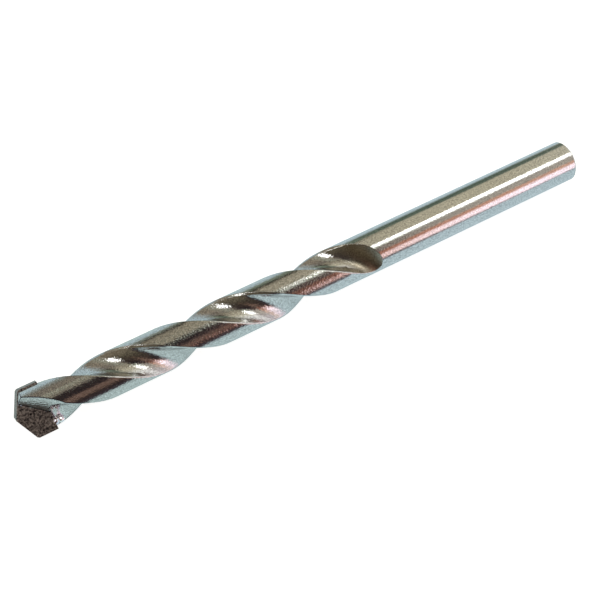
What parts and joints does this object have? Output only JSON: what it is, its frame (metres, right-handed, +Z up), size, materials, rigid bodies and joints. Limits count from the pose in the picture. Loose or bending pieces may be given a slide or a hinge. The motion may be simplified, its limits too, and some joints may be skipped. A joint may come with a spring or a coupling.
{
  "type": "masonry drill bit",
  "caption": "Straight-shank masonry drill bit: a bright plated steel bar with twisted flutes that run out into a plain round shank, and a carbide plate brazed across its point",
  "frame": {"origin": "the centre of the shank's flat end, on the drill's axis", "axes": "+X along the drill's axis and out of the shank's end, with the point at -X; +Z up, as the drill lies on its side; +Y across it"},
  "size_m": [0.15, 0.0118, 0.0104],
  "materials": {
    "plated_steel": "bright nickel plating over milled and ground steel, satin lengthways",
    "carbide": "ground sintered tungsten carbide, dark grey",
    "braze": "frozen silver braze, bright and lumpy"
  },
  "bodies": {
    "root": {"drill_body": "plated_steel", "carbide_tip": "carbide", "braze_joint": "braze"}
  },
  "joints": []
}
